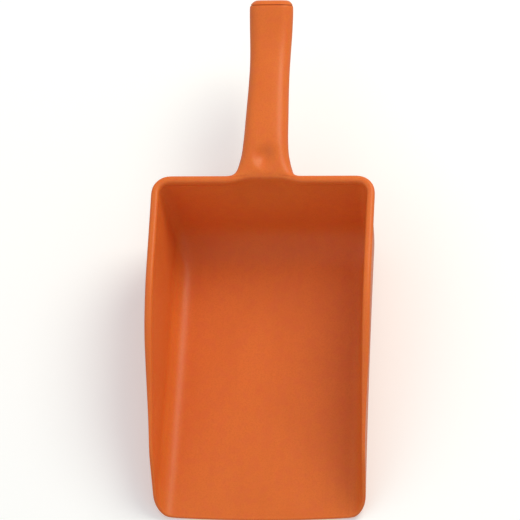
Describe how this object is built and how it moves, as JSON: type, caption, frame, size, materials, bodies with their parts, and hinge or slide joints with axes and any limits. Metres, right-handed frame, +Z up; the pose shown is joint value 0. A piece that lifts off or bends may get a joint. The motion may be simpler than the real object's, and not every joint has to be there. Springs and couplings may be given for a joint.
{
  "type": "hand scoop",
  "caption": "Moulded plastic hand scoop: deep open-front bowl with sloping side walls, beaded rim and a hollow grip handle closed by an end plug.",
  "frame": {"origin": "on the surface the scoop rests on, at the middle of its width and of its overall length", "axes": "+Y from the lip towards the end of the handle, +Z up out of the open bowl, +X across the bowl to the right as seen from the lip"},
  "size_m": [0.1616, 0.3696, 0.0924],
  "materials": {
    "scoop_plastic": "satin, lightly grained polypropylene moulded in orange",
    "plug_plastic": "satin polypropylene in the same orange"
  },
  "bodies": {
    "root": {"scoop_body": "scoop_plastic", "handle_end_plug": "plug_plastic"}
  },
  "joints": []
}
